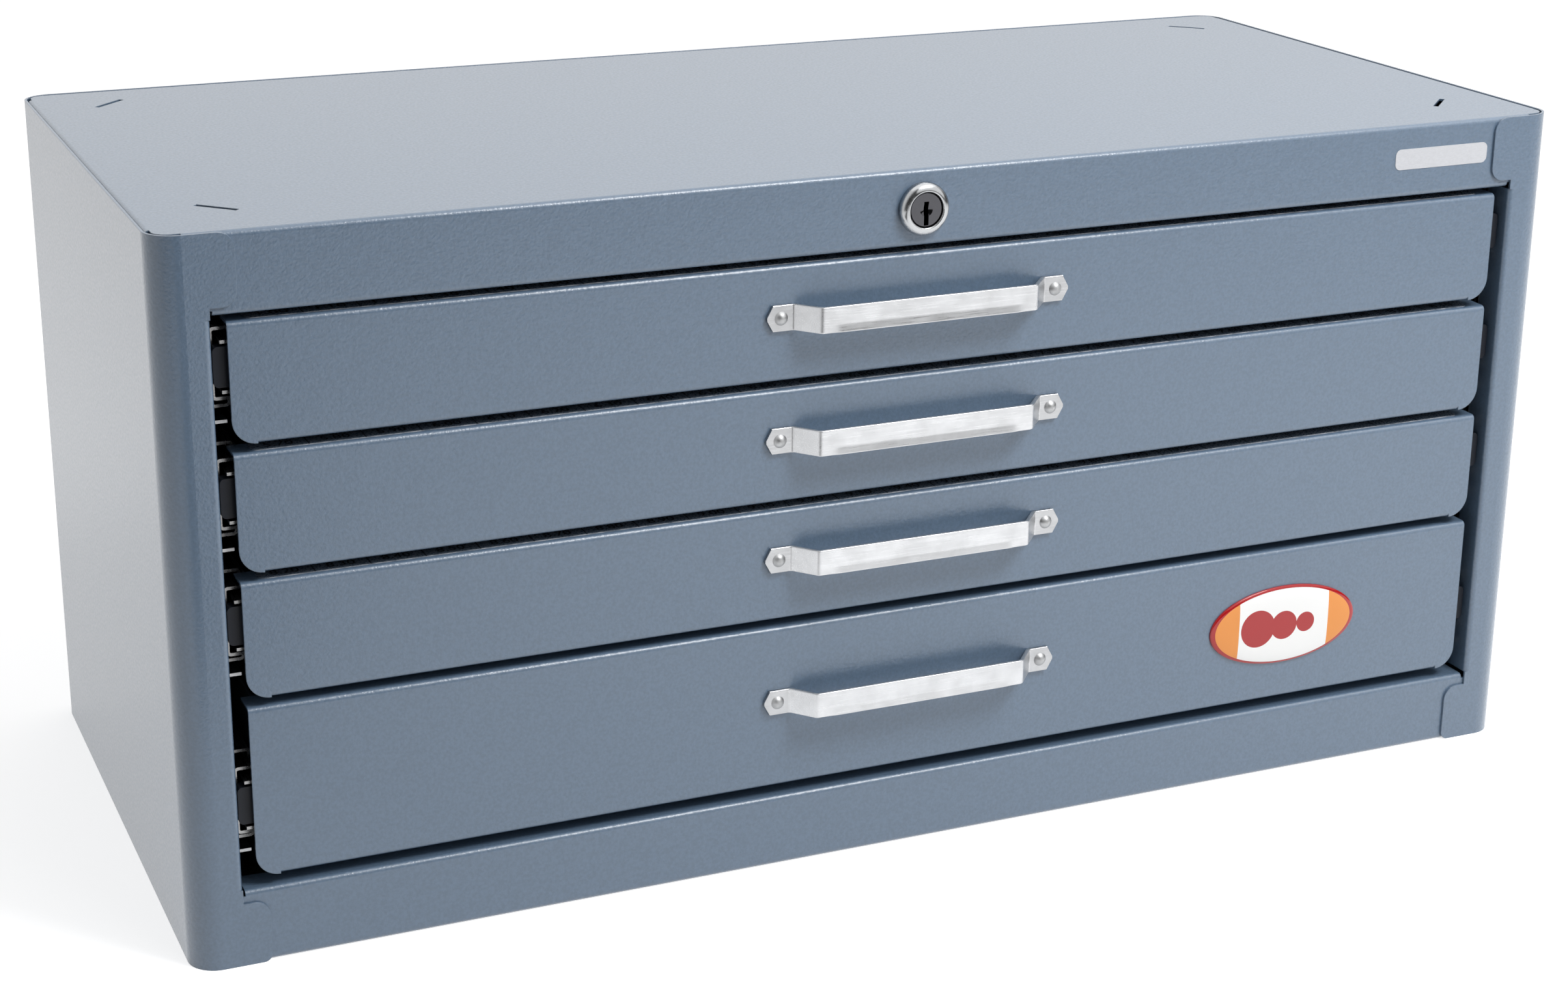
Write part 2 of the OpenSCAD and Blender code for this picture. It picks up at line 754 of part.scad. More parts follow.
// Cross partition of the top drawer, with a ledge for the rear number strip
module partition() {
    wall_run = divider_top(0) - floor_z - fold_in;
    color(zinc) on_drawer(0)
        along_x(2 * (inside_x - fold_in))
            translate([partition_y + sheet_t, floor_z])
                rotate(90) strip([[wall_run, -1], [ledge_d - fold_in, 0]], sheet_t, fold_in);
}

// A number strip, its front margin starting at y = 0
module number_strip() {
    translate([-inside_x, label_margin, 0])
        linear_extrude(label_t) rounded([2 * inside_x, label_w], [for (k = [0:3]) label_r]);
}

// Number strips: one on the front, and in the top drawer one on the partition
module labels(i) {
    color(white) on_drawer(i) {
        translate([0, front_y + fold_r, front_h(i)]) number_strip();
        if (i == 0)
            translate([0, partition_y + fold_r, divider_top(i) + sheet_t]) number_strip();
    }
}

// Points of an arc, from one angle to another
function arc(centre, r, from, to, n = 6) =
    [for (k = [0:n]) centre + r * [cos(from + (to - from) * k / n), sin(from + (to - from) * k / n)]];

// Right half of the strap's front or rear edge seen from above, from the grip's knee to the foot's tip
function strap_edge(rear) =
    let (
        knee = [grip_l / 2 - leg_run / 2, strap_r + strap_t - grip_reach],
        heel = [grip_l / 2 + leg_run / 2, -strap_t - strap_r],
        knee_r = rear ? strap_r : strap_r + strap_t,
        heel_r = rear ? strap_r + strap_t : strap_r
    )
    concat(
        arc(knee, knee_r, -90, leg_angle - 90),
        arc(heel, heel_r, leg_angle + 90, 90),
        [[tip_x, heel.y + heel_r]]
    );

function reversed(list) = [for (k = [len(list) - 1:-1:0]) list[k]];
function mirrored(list) = [for (p = list) [-p.x, p.y]];

// Strap handle with pointed feet
module handle(i) {
    front_edge = strap_edge(false);
    rear_edge = strap_edge(true);
    plan = concat(
        reversed(mirrored(front_edge)),
        front_edge,
        reversed(rear_edge),
        mirrored(rear_edge)
    );
    corner_x = tip_x - foot_point;
    half = strap_h / 2;
    face = [
        [-tip_x, 0],
        [-corner_x, -half],
        [corner_x, -half],
        [tip_x, 0],
        [corner_x, half],
        [-corner_x, half]
    ];
    color(zinc) on_drawer(i) translate([0, front_y, handle_z(i)]) difference() {
        intersection() {
            translate([0, 0, -half]) linear_extrude(strap_h) polygon(plan);
            along_y(-2 * grip_reach, 2 * grip_reach) polygon(face);
        }
        for (side = [-1, 1])
            translate([side * rivet_pitch / 2, -2 * strap_t, 0])
                rotate([-90, 0, 0]) cylinder(d = rivet_hole_d, h = 3 * strap_t);
    }
}

// Domed rivets through the handle's feet and the front
module rivets(i) {
    dome_r = (pow(rivet_head_d / 2, 2) + pow(rivet_head_h, 2)) / (2 * rivet_head_h);
    grip = strap_t + sheet_t;
    color(zinc) on_drawer(i) for (side = [-1, 1])
        translate([side * rivet_pitch / 2, front_y - strap_t, handle_z(i)])
            rotate([-90, 0, 0]) {
                intersection() {
                    translate([0, 0, dome_r - rivet_head_h]) sphere(dome_r);
                    translate([0, 0, -rivet_head_h]) cylinder(d = 2 * rivet_head_d, h = rivet_head_h);
                }
                cylinder(d = rivet_d, h = grip);
                translate([0, 0, grip]) cylinder(d = rivet_tail_d, h = rivet_tail_h);
            }
}

// Oval badge on the bottom drawer
module badge() {
    color(white) on_drawer(last)
        translate([badge_x, front_y, front_h(last) / 2])
            scale([badge_w / badge_h, 1, 1]) rotate([90, 0, 0]) cylinder(d = badge_h, h = badge_t);
}

// Lock

module on_lock_axis() from_front() translate([0, 0, lock_z]) rotate([-90, 0, 0]) children();

// Domed bezel in front of the rail and barrel behind it
module lock_body() {
    lip_y = sheet_t - bezel_lip;
    color(chrome) on_lock_axis() rotate_extrude() {
        translate([dome_in_r, lip_y]) intersection() {
            circle(dome_r);
            translate([0, -dome_r]) square(dome_r);
        }
        translate([dome_in_r, lip_y - dome_r + bezel_rim]) intersection() {
            circle(bezel_rim);
            translate([-bezel_rim, -bezel_rim]) square(bezel_rim);
        }
        translate([bore_r, lip_y - dome_r + bezel_rim]) square([bezel_rim, dome_r - bezel_rim]);
        translate([bore_r, lip_y]) square([bezel_d / 2 - bore_r, bezel_lip]);
        translate([bore_r, sheet_t]) square([barrel_d / 2 - bore_r, barrel_l]);
    }
}

module lock_nut() {
    color(zinc) on_lock_axis() translate([0, 0, 2 * sheet_t]) difference() {
        cylinder(d = nut_d, h = nut_t, $fn = 6);
        translate([0, 0, -1]) cylinder(d = barrel_d + 2 * barrel_gap, h = nut_t + 2);
    }
}

// Plug with a dished keyway in front and a socket for the rod behind
module lock_plug() {
    face_y = sheet_t - bezel_reach + plug_setback;
    face_d = plug_d - 2 * plug_bevel;
    side_y = face_y + plug_bevel;
    color(chrome) on_lock_axis() difference() {
        union() {
            translate([0, 0, face_y]) cylinder(d1 = face_d, d2 = plug_d, h = plug_bevel);
            translate([0, 0, side_y]) cylinder(d = plug_d, h = plug_end - side_y);
            translate([0, 0, plug_end - plug_flange_t])
                cylinder(d = plug_d + 2 * plug_flange, h = plug_flange_t);
        }
        translate([0, 0, face_y - dish_l]) cylinder(d1 = 2 * dish_d, d2 = 0, h = 2 * dish_l);
        translate([-keyway_w / 2, -keyway_high, face_y - 1])
            cube([keyway_w, keyway_low + keyway_high, keyway_l + 1]);
        translate([0, 0, plug_end - socket_l]) cylinder(d = rod_d + 2 * socket_gap, h = socket_l + 1);
    }
}

// Rod to the back, with a crank and its pin. At rest the pin is down to the left.
module lock_rod() {
    start = plug_end - socket_l + socket_gap;
    eye_d = pin_d + 2 * crank_wall;
    pin_l = bar_back + pin_reach - crank_y - crank_t;
    color(zinc) on_lock_axis() {
        translate([0, 0, start]) cylinder(d = rod_d, h = crank_y + crank_t - start);
        rotate(180 - crank_angle) {
            translate([0, 0, crank_y]) linear_extrude(crank_t) {
                circle(d = rod_d + 2 * crank_wall);
                translate([crank_r, 0]) circle(d = eye_d);
                translate([0, -pin_d / 2]) square([crank_r, pin_d]);
            }
            translate([crank_r, 0, crank_y + crank_t]) cylinder(d = pin_d, h = pin_l);
        }
    }
}

// Bracket under the top panel that carries the rod's rear end
module lock_rod_bracket() {
    ceiling = case_h - sheet_t;
    low = lock_z - bracket_drop;
    color(zinc) from_front() difference() {
        translate([-bracket_w / 2, tray_back, low]) {
            cube([bracket_w, bracket_t, ceiling - low]);
            translate([0, 0, ceiling - low - bracket_t]) cube([bracket_w, bracket_foot, bracket_t]);
        }
        translate([0, tray_back - 1, lock_z])
            rotate([-90, 0, 0]) cylinder(d = rod_d + 2 * rod_gap, h = bracket_t + 2);
    }
}

// Upright bar with one upturned finger for each drawer and a slot for the crank's pin
module lock_bar() {
    reach = bar_front - finger_y;
    low = finger_top(last) - finger_h - bar_margin;
    high = slot_z + pin_d / 2 + bar_margin;
    slot_half = pin_d / 2 + pin_gap;
    slot_left = -crank_r - slot_half;
    slot_right = slot_half - crank_r * cos(crank_angle);
    color(zinc) from_front() {
        along_y(bar_front, bar_t) difference() {
            translate([-bar_w / 2, low]) square([bar_w, high - low]);
            translate([slot_left, slot_z - slot_half]) square([slot_right - slot_left, 2 * slot_half]);
        }
        for (i = drawers)
            translate([-finger_w / 2, finger_y, finger_top(i) - finger_h]) {
                cube([finger_w, reach, bar_t]);
                cube([finger_w, bar_t, finger_h]);
            }
    }
}

// Two channels on the back panel that hold the lock bar
module lock_bar_guides() {
    inside = bar_w / 2 + bar_gap;
    mouth = bar_front - bar_gap - guide_t;
    heights = [front_z(last) + front_h(last), front_z(1)];
    color(zinc) from_front() for (z = heights)
        translate([0, 0, z - guide_h / 2]) linear_extrude(guide_h) {
            translate([-inside - guide_t, back_y - guide_t]) square([2 * (inside + guide_t), guide_t]);
            for (side = [0, 1]) mirror([side, 0]) {
                translate([inside, mouth]) square([guide_t, back_y - mouth]);
                translate([inside - guide_lip, mouth]) square([guide_lip + guide_t, guide_t]);
            }
        }
}

wrapper();
top_panel();
bottom_panel();
slide_uprights();
outer_rails();
slide_ledges();
rail_label();
lock_body();
lock_nut();
lock_plug();
lock_rod();
lock_rod_bracket();
lock_bar();
lock_bar_guides();
for (i = drawers) {
    drawer_front(i);
    tray(i);
    handle(i);
    rivets(i);
    inner_rails(i);
    middle_rails(i);
    bumpers(i);
    outer_cages(i);
    inner_cages(i);
}
for (i = bit_drawers) {
    dividers(i);
    labels(i);
}
partition();  // drawer_1_partition
badge();  // drawer_4_badge
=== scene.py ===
"""Looks of a four-drawer drill bit dispenser cabinet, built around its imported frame."""
import json
import math

import bmesh
import bpy
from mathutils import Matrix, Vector


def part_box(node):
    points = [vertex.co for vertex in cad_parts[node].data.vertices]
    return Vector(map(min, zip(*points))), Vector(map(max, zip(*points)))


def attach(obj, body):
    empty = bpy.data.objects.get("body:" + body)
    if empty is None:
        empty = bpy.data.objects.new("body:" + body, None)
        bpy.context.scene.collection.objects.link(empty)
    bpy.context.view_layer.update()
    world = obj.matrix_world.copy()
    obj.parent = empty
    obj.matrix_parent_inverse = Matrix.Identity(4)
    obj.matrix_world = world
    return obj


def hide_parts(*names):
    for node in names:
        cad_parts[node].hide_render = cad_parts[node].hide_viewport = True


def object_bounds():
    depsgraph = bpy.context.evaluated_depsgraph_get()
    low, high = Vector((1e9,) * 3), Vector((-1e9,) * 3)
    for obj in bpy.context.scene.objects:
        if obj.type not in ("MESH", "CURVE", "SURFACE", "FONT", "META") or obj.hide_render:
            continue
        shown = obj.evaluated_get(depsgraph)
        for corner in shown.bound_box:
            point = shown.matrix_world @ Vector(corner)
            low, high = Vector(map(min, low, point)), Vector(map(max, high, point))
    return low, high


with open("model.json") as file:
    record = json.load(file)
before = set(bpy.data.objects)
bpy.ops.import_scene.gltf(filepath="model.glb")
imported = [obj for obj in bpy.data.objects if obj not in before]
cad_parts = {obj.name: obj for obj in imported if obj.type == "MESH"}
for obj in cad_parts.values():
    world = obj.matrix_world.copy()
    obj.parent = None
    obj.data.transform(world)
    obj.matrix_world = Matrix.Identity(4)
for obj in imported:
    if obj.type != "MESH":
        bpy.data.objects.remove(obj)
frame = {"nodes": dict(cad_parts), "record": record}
cad_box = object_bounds()

MM = 0.001
DRAWERS = 4

# Camera, at the photograph's angle: its turns in degrees and its lens in millimetres
CAMERA_AT = (-0.4631, -1.0553, 0.5091)
CAMERA_TURN = (71.824, -0.305, -22.930)
CAMERA_LENS = 63.3
CAMERA_SHIFT = (0.02248, -0.03172)

# Room: white towards the backdrop and dark in front, between two cosines from the backdrop's direction
BACKDROP_WAY = (-0.35, 0.9, 0.3)
ROOM_DARK = 0.06
ROOM_DARK_COSINE = -0.5
ROOM_WHITE_COSINE = 0.1
ROOM_LIGHT = 0.29

# Table: round, with a bay in its front edge, where the photographer stands
PALE_FLOOR = (0.7, 0.7, 0.7)
FLOOR_GLOW = 0.68
TABLE_AT = (0.4, 0.4)
TABLE_R = 2.0
TABLE_STEPS = 96
BAY_X = (-0.47, -0.2)
BAY_Y = -0.42

# Lamps: a wide ceiling, a large key at the front right and a small box above the front
CEILING_WAY = (0.25, 0.1, 1.0)
CEILING_SPREAD = math.radians(80)
CEILING_STRENGTH = 0.8
KEY_AT = (0.75, -0.95, 0.95)
KEY_AIM = (0, 0, 0.15)
KEY_SIZE = 1.8
KEY_POWER = 10
TOP_BOX_AT = (0.45, -0.8, 1.2)
TOP_BOX_AIM = (0.1, -0.1, 0.2)
TOP_BOX_SIZE = 0.5
TOP_BOX_POWER = 11.5

# Colours, as linear values
PAINT_BLUE_GREY = (0.103, 0.157, 0.23)
TRAY_GREY = (0.15, 0.195, 0.25)
ZINC = (0.58, 0.587, 0.6)
RIVET_ZINC = (0.43, 0.435, 0.44)
PLATED = (0.55, 0.56, 0.57)
# Slide steel kept dark: painted shade for slides that sit in shadow in the gaps
STEEL_WITH_PAINTED_SHADE = (0.34, 0.34, 0.34)
CHROME = (0.44, 0.45, 0.46)
# Chrome for the lock's plug, darkened: a painted reflection of the dark room in front
CHROME_WITH_PAINTED_DARK_REFLECTION = (0.075, 0.075, 0.082)
BLACK_PLASTIC = (0.01, 0.012, 0.018)
STRIP_FILM = (0.12, 0.15, 0.19)
# Pale dashes on the strips' front edges: a painted highlight where the edge catches the light
STRIP_EDGE_PAINTED_HIGHLIGHT = (0.6, 0.61, 0.63)
INK_BLACK = (0.006, 0.006, 0.007)
PAPER_WHITE = (0.58, 0.59, 0.62)
BADGE_RED = (0.4, 0.006, 0.008)
BADGE_ORANGE = (0.8, 0.28, 0.04)
BADGE_WHITE = (0.9, 0.9, 0.89)

# Finishes: the range that most of a noise keeps to, the paint's edge radius and the streaks' length
NOISE_LOW = 0.3
NOISE_HIGH = 0.7
PAINT_EDGE_R = 0.5 * MM
STREAK_SQUEEZE = 0.03

# Strap handles: the strap, its bends and its pointed feet
STRAP_T = 1.6 * MM
STRAP_EDGE_R = 0.35 * MM
STRAP_EDGE_STEPS = 3
STRAP_FLAT_HOLD = 0.05 * MM
STRAP_SMOOTH = math.radians(30)
BEND_R = 1.5 * MM
BEND_STEPS = 6
LEG_ANGLE = math.radians(50)
GRIP_L = 99 * MM
FOOT_POINT = 2.4 * MM
FOOT_TIP_HALF = 0.6 * MM
FOOT_FROM = 53.5 * MM
FOOT_FADE = 1 * MM
# Share of the feet's colour that is kept: painted shade for their darker reflection
FOOT_PAINTED_SHADE = 0.78

# Strap handles: the lower edge, flared forward along a crease that runs out before the bends
CREASE_UP = 3.1 * MM
CREASE_R = 0.4 * MM
CREASE_FROM_KNEE = 3 * MM
CREASE_RUN_OUT = 5 * MM
CREASE_STEPS = 6
FLARE_ANGLE = math.radians(7)
FLARE_REACH = CREASE_UP * math.tan(FLARE_ANGLE)

# Number strips: how many numbers each strip of a drawer has, the front one first
NUMBER_COUNTS = {1: (25, 22), 2: (25,), 3: (19,)}
FIRST_SIZE = 1.0
SIZE_STEP = 0.1
CELL_W = 20.96 * MM
NUMBER_W = 10.7 * MM
NUMBER_STEPS = 3
NUMBER_SMOOTH = math.radians(40)
INK_T = 0.03 * MM
RULE_W = 0.4 * MM
STRIP_EDGE_W = 0.5 * MM
STRIP_ROW_GAP = 40 * MM

# Badge: a dome with an upright edge; the print's sizes are shares of its half width and half height
BADGE_EDGE = 0.35
BADGE_RINGS = 14
BADGE_STEPS = 96
BADGE_SMOOTH = math.radians(50)
BADGE_FIELD = 0.62
BADGE_RIM = 0.94
BADGE_DISCS = ((-0.36, 0.48), (0.0, 0.368), (0.3, 0.256))


# Helpers

def link(thing):
    bpy.context.scene.collection.objects.link(thing)
    return thing


def to_mesh(build, name):
    mesh = bpy.data.meshes.new(name)
    build.to_mesh(mesh)
    build.free()
    return mesh


def add_node(tree, kind, inputs, operation=None):
    """A shader node, each of its inputs a constant or another node's output."""
    made = tree.nodes.new("ShaderNode" + kind)
    if operation:
        made.operation = operation
    for socket, value in inputs.items():
        if isinstance(value, bpy.types.NodeSocket):
            tree.links.new(value, made.inputs[socket])
        else:
            made.inputs[socket].default_value = value
    return made


def maths(tree, operation, first, second=0.0):
    return add_node(tree, "Math", {0: first, 1: second}, operation).outputs[0]


def strips(drawer):
    """Boxes of a drawer's number strips, the front one first."""
    mesh = frame["nodes"][f"drawer_{drawer}_labels"].data
    boxes = {}
    for vertex in mesh.vertices:
        row = round(vertex.co.y / STRIP_ROW_GAP)
        low, high = boxes.setdefault(row, (vertex.co.copy(), vertex.co.copy()))
        for axis in range(3):
            low[axis] = min(low[axis], vertex.co[axis])
            high[axis] = max(high[axis], vertex.co[axis])
    return [boxes[row] for row in sorted(boxes)]


# Camera, light and floor

def add_camera():
    data = bpy.data.cameras.new("camera")
    data.lens = CAMERA_LENS
    data.shift_x, data.shift_y = CAMERA_SHIFT
    camera = link(bpy.data.objects.new("camera", data))
    camera.location = CAMERA_AT
    camera.rotation_euler = [math.radians(turn) for turn in CAMERA_TURN]
    bpy.context.scene.camera = camera


def add_lamp(name, at, towards, size, power):
    data = bpy.data.lights.new(name, "AREA")
    data.shape = "DISK"
    data.size = size
    data.energy = power
    lamp = link(bpy.data.objects.new(name, data))
    lamp.location = at
    aim = Vector(towards) - Vector(at)
    lamp.rotation_euler = aim.to_track_quat("-Z", "Y").to_euler()


def add_sun(name, towards, spread, strength):
    """Even light from one side of the sky, as wide as a studio ceiling."""
    data = bpy.data.lights.new(name, "SUN")
    data.angle = spread
    data.energy = strength
    sun = link(bpy.data.objects.new(name, data))
    sun.rotation_euler = Vector(towards).to_track_quat("Z", "Y").to_euler()


def background_rays(tree):
    """One where a ray shows the background: seen directly, mirrored or through glass."""
    path = add_node(tree, "LightPath", {}).outputs
    mirrored = maths(tree, "MAXIMUM", path["Is Glossy Ray"], path["Is Transmission Ray"])
    return maths(tree, "MAXIMUM", path["Is Camera Ray"], mirrored)


def room_colour(tree):
    """White towards the backdrop and the ceiling, and darker towards the room in front."""
    direction = add_node(tree, "TexCoord", {}).outputs["Generated"]
    backdrop = Vector(BACKDROP_WAY).normalized()
    cosine = add_node(tree, "VectorMath", {0: direction, 1: backdrop}, "DOT_PRODUCT").outputs["Value"]
    ends = {"From Min": ROOM_DARK_COSINE, "From Max": ROOM_WHITE_COSINE, "To Min": ROOM_DARK}
    ramp = add_node(tree, "MapRange", {"Value": cosine, **ends})
    ramp.interpolation_type = "SMOOTHSTEP"
    return ramp.outputs["Result"]


def light_world():
    """The room lights the cabinet and is mirrored in it; the camera sees plain white."""
    world = bpy.data.worlds.new("studio")
    bpy.context.scene.world = world
    world.use_nodes = True
    tree = world.node_tree
    room = room_colour(tree)
    lighting = tree.nodes["Background"]
    lighting.inputs["Strength"].default_value = ROOM_LIGHT
    tree.links.new(room, lighting.inputs["Color"])
    camera_ray = add_node(tree, "LightPath", {}).outputs["Is Camera Ray"]
    seen = maths(tree, "MAXIMUM", camera_ray, room)
    shown = add_node(tree, "Background", {"Color": seen, "Strength": 1.0})
    mix = add_node(tree, "MixShader", {"Fac": background_rays(tree)})
    tree.links.new(lighting.outputs[0], mix.inputs[1])
    tree.links.new(shown.outputs[0], mix.inputs[2])
    tree.links.new(mix.outputs[0], tree.nodes["World Output"].inputs["Surface"])


def table_outline():
    """A round table with a bay in its front edge, where the photographer stands."""
    first = -math.acos((BAY_X[1] - TABLE_AT[0]) / TABLE_R)
    last = 2 * math.pi - math.acos((BAY_X[0] - TABLE_AT[0]) / TABLE_R)
    angles = [first + (last - first) * k / TABLE_STEPS for k in range(TABLE_STEPS + 1)]
    rim = [(TABLE_AT[0] + TABLE_R * math.cos(a), TABLE_AT[1] + TABLE_R * math.sin(a)) for a in angles]
    return rim + [(x, BAY_Y) for x in BAY_X]


def floor_material():
    """Pale and matt, with a glow that lifts it to white where it is seen or mirrored."""
    material = bpy.data.materials.new("floor")
    material.use_nodes = True
    tree = material.node_tree
    tree.nodes.remove(tree.nodes["Principled BSDF"])
    matt = add_node(tree, "BsdfDiffuse", {"Color": (*PALE_FLOOR, 1)})
    strength = maths(tree, "MULTIPLY", background_rays(tree), FLOOR_GLOW)
    glow = add_node(tree, "Emission", {"Color": (1, 1, 1, 1), "Strength": strength})
    both = add_node(tree, "AddShader", {0: matt.outputs[0], 1: glow.outputs[0]})
    tree.links.new(both.outputs[0], tree.nodes["Material Output"].inputs["Surface"])
    return material


def add_floor():
    """A table that shows as white and keeps the cabinet's soft shadow."""
    build = bmesh.new()
    build.faces.new([build.verts.new((x, y, cad_box[0][2])) for x, y in table_outline()])
    mesh = to_mesh(build, "floor")
    mesh.materials.append(floor_material())
    floor = link(bpy.data.objects.new("floor", mesh))


# Materials

class Finish:
    """One Principled material, with the nodes that give it its detail."""

    def __init__(self, name, **sockets):
        self.material = bpy.data.materials.new(name)
        self.material.use_nodes = True
        self.tree = self.material.node_tree
        self.shader = self.tree.nodes["Principled BSDF"]
        for socket, value in sockets.items():
            self.shader.inputs[socket.replace("_", " ")].default_value = value
        self.place = self.node("TexCoord", {}).outputs["Object"]

    def node(self, kind, inputs, operation=None):
        return add_node(self.tree, kind, inputs, operation)

    def along(self, axis):
        return self.node("SeparateXYZ", {"Vector": self.place}).outputs[axis]

    def stretched(self, scale):
        return self.node("Mapping", {"Vector": self.place, "Scale": scale}).outputs[0]

    def noise(self, size, detail=2.0, place=None):
        inputs = {"Vector": place or self.place, "Scale": 1 / size, "Detail": detail}
        return self.node("TexNoise", inputs).outputs["Fac"]

    def crystals(self, size):
        return self.node("TexVoronoi", {"Vector": self.place, "Scale": 1 / size}).outputs["Color"]

    def tint(self, pattern, colour, darkest, lightest, ends=(0.35, 0.65)):
        """A colour that follows a pattern, from its darkest share at one end to its lightest."""
        ramp = self.node("ValToRGB", {"Fac": pattern})
        for stop, position, share in zip(ramp.color_ramp.elements, ends, (darkest, lightest)):
            stop.position = position
            stop.color = (*(channel * share for channel in colour), 1)
        return ramp.outputs["Color"]

    def fade(self, value, start, end, before, after):
        """A value that changes evenly from before to after, between a start and an end."""
        ends = {"From Min": start, "From Max": end, "To Min": before, "To Max": after}
        return self.node("MapRange", {"Value": value, **ends}).outputs[0]

    def spread(self, pattern, lowest, highest):
        return self.fade(pattern, NOISE_LOW, NOISE_HIGH, lowest, highest)

    def over(self, below, mask, top):
        """One colour over another where a mask is one, each a constant or a node's output."""
        mix = self.node("MixRGB", {"Fac": mask})
        for socket, colour in (("Color1", below), ("Color2", top)):
            if isinstance(colour, bpy.types.NodeSocket):
                self.tree.links.new(colour, mix.inputs[socket])
            else:
                mix.inputs[socket].default_value = (*colour, 1)
        return mix.outputs["Color"]

    def relief(self, height, depth, strength, over=None):
        inputs = {"Height": height, "Strength": strength, "Distance": depth}
        if over:
            inputs["Normal"] = over
        return self.node("Bump", inputs).outputs[0]

    def wire(self, socket, source):
        self.tree.links.new(source, self.shader.inputs[socket])


def powder_coat(name, colour):
    """Textured paint: a grain of about a millimetre over a faint orange peel."""
    paint = Finish(name, IOR=1.5, Coat_Weight=1.0, Coat_Roughness=0.26, Coat_IOR=1.5)
    mottle = paint.noise(size=1.3 * MM, detail=3)
    grain = paint.noise(size=1.1 * MM)
    peel = paint.noise(size=3.5 * MM)
    paint.wire("Base Color", paint.tint(mottle, colour, darkest=0.93, lightest=1.07))
    paint.wire("Roughness", paint.spread(grain, lowest=0.36, highest=0.5))
    edges = paint.node("Bevel", {"Radius": PAINT_EDGE_R}).outputs[0]
    uneven = paint.relief(peel, depth=0.02 * MM, strength=0.5, over=edges)
    textured = paint.relief(grain, depth=0.13 * MM, strength=0.9, over=uneven)
    paint.wire("Normal", textured)
    paint.wire("Coat Normal", textured)
    return paint.material


def bare_metal(name, colour, roughness, along, painted_shade_from=None):
    """Rolled or plated metal, streaked along one axis, and darkened past a distance from the middle as
    painted shade for a darker reflection there.
    """
    metal = Finish(name, Metallic=1.0)
    squeeze = [1.0, 1.0, 1.0]
    squeeze[along] = STREAK_SQUEEZE
    streaks = metal.noise(size=0.35 * MM, place=metal.stretched(squeeze))
    cloud = metal.noise(size=9 * MM, detail=3)
    tinted = metal.tint(cloud, colour, darkest=0.92, lightest=1.05)
    if painted_shade_from:
        # Past that distance the colour is darkened: painted shade for a darker reflection
        reach = maths(metal.tree, "ABSOLUTE", metal.along("X"))
        share = metal.fade(reach, painted_shade_from, painted_shade_from + FOOT_FADE, before=1.0, after=FOOT_PAINTED_SHADE)
        tinted = metal.node("VectorMath", {0: tinted, 1: share}, "MULTIPLY").outputs["Vector"]
    metal.wire("Base Color", tinted)
    metal.wire("Roughness", metal.spread(streaks, lowest=roughness - 0.07, highest=roughness + 0.09))
    metal.wire("Normal", metal.relief(streaks, depth=0.006 * MM, strength=0.6))
    return metal.material


def galvanised(name, colour, roughness):
    """Zinc-coated steel with faint crystals."""
    metal = Finish(name, Metallic=1.0)
    crystals = metal.crystals(size=4 * MM)
    fine = metal.noise(size=0.5 * MM)
    metal.wire("Base Color", metal.tint(crystals, colour, darkest=0.88, lightest=1.06, ends=(0.1, 0.9)))
    metal.wire("Roughness", metal.spread(fine, lowest=roughness - 0.06, highest=roughness + 0.08))
    metal.wire("Normal", metal.relief(fine, depth=0.004 * MM, strength=0.5))
    return metal.material


def polished(name, colour, roughness):
    """Chrome plate with the faint haze of a wiped surface."""
    metal = Finish(name, Metallic=1.0)
    haze = metal.noise(size=3 * MM, detail=4)
    fine = metal.noise(size=1.2 * MM)
    metal.wire("Base Color", metal.tint(haze, colour, darkest=0.95, lightest=1.03))
    metal.wire("Roughness", metal.spread(haze, lowest=roughness * 0.7, highest=roughness * 1.4))
    metal.wire("Normal", metal.relief(fine, depth=0.001 * MM, strength=0.4))
    return metal.material


def moulded(name, colour, roughness):
    """Moulded plastic with a fine spark-eroded grain."""
    plastic = Finish(name, IOR=1.49, Specular_IOR_Level=0.3)
    grain = plastic.noise(size=0.35 * MM)
    plastic.wire("Base Color", plastic.tint(grain, colour, darkest=0.85, lightest=1.2))
    plastic.wire("Roughness", plastic.spread(grain, lowest=roughness - 0.08, highest=roughness + 0.1))
    plastic.wire("Normal", plastic.relief(grain, depth=0.01 * MM, strength=0.5))
    return plastic.material


def paper(name, colour):
    """Coated label paper with faint fibres."""
    sheet = Finish(name, IOR=1.45)
    fibres = sheet.noise(size=0.6 * MM, detail=4, place=sheet.stretched((0.5, 1, 1.4)))
    sheet.wire("Base Color", sheet.tint(fibres, colour, darkest=0.95, lightest=1.02))
    sheet.wire("Roughness", sheet.spread(fibres, lowest=0.5, highest=0.62))
    sheet.wire("Normal", sheet.relief(fibres, depth=0.006 * MM, strength=0.5))
    return sheet.material


def film(name, colour, front):
    """Printed plastic film: a little glossy, slightly rippled, with a painted highlight in dashes along its
    front edge, where the edge catches the light.
    """
    sheet = Finish(name, IOR=1.5)
    ripple = sheet.noise(size=14 * MM, detail=1)
    fine = sheet.noise(size=0.8 * MM)
    dashes = sheet.spread(sheet.noise(size=4 * MM), lowest=0.0, highest=1.0)
    edge = sheet.fade(sheet.along("Y"), front, front + STRIP_EDGE_W, before=1.0, after=0.0)
    printed = sheet.tint(fine, colour, darkest=0.96, lightest=1.04)
    # The pale dashes along the front edge are a painted highlight
    painted_highlight = maths(sheet.tree, "MULTIPLY", edge, dashes)
    sheet.wire("Base Color", sheet.over(printed, painted_highlight, STRIP_EDGE_PAINTED_HIGHLIGHT))
    sheet.wire("Roughness", sheet.spread(fine, lowest=0.24, highest=0.32))
    sheet.wire("Normal", sheet.relief(ripple, depth=0.05 * MM, strength=0.5))
    return sheet.material


